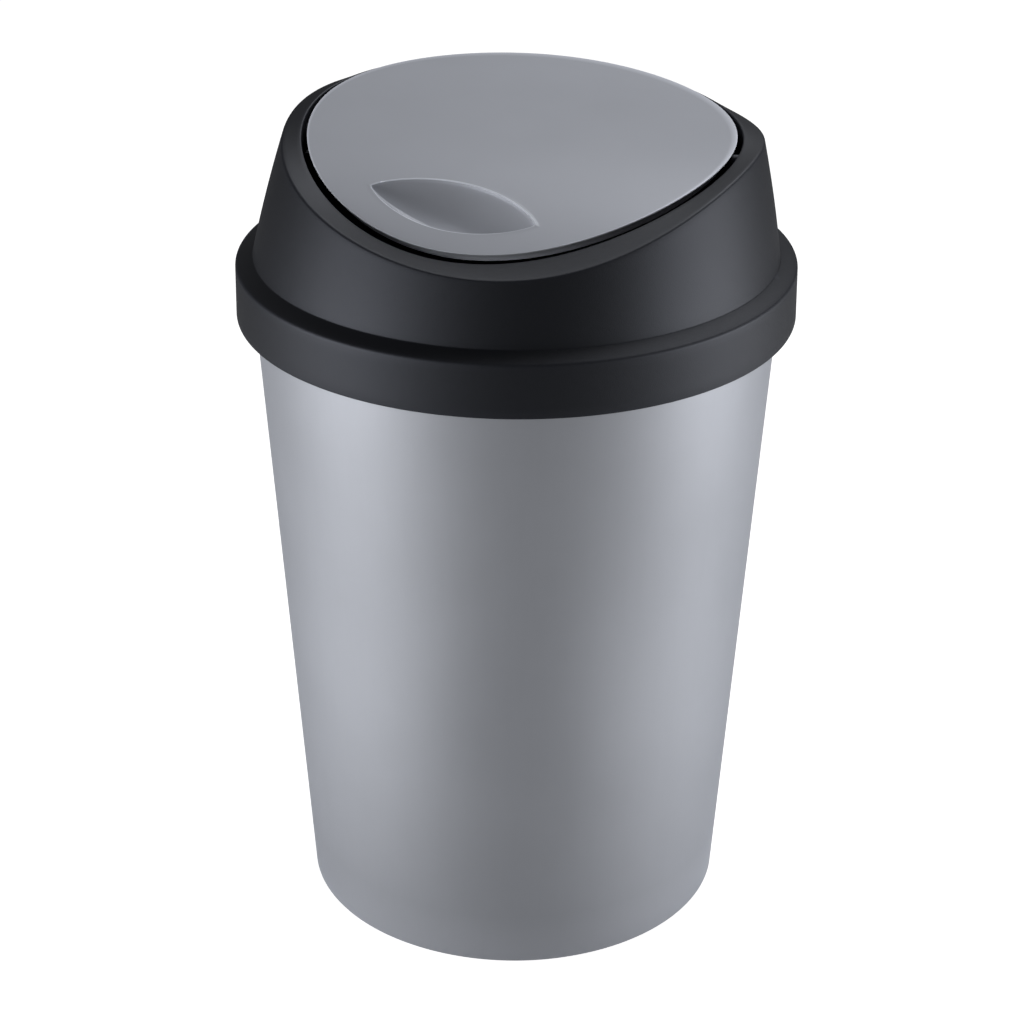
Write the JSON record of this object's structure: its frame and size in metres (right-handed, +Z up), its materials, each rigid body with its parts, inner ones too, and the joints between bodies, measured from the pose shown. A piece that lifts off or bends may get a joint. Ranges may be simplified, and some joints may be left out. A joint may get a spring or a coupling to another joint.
{
  "type": "swing-lid trash can",
  "caption": "Round swing-lid trash can: tapered tub, lift-off lid collar with a sloping opening, and a round flap with a finger scoop that swings inwards on two pins.",
  "frame": {"origin": "centre of the tub's foot ring, on the floor", "axes": "+Z up, front (the low side of the opening, with the finger scoop) towards -Y, the right side as seen from the front towards +X"},
  "size_m": [0.32, 0.32, 0.4798],
  "materials": {
    "silver_plastic": "satin, metallic silver",
    "black_plastic": "fine matt grain",
    "flap_plastic": "satin, metallic grey",
    "pin_metal": "plain"
  },
  "bodies": {
    "bin": {"bin_body": "silver_plastic"},
    "lid": {"lid_collar": "black_plastic", "pivot_pin_left": "pin_metal", "pivot_pin_right": "pin_metal"},
    "flap": {"swing_flap": "flap_plastic"}
  },
  "joints": [
    {"name": "lid_lift", "type": "slide", "parent": "bin", "child": "lid", "axis": [0, 0, 1], "range_m": [0, 0.15]},
    {"name": "flap_swing", "type": "hinge", "parent": "lid", "child": "flap", "pos_m": [0, 0, 0.4665], "axis": [1, 0, 0], "range_deg": [0, 60]}
  ]
}
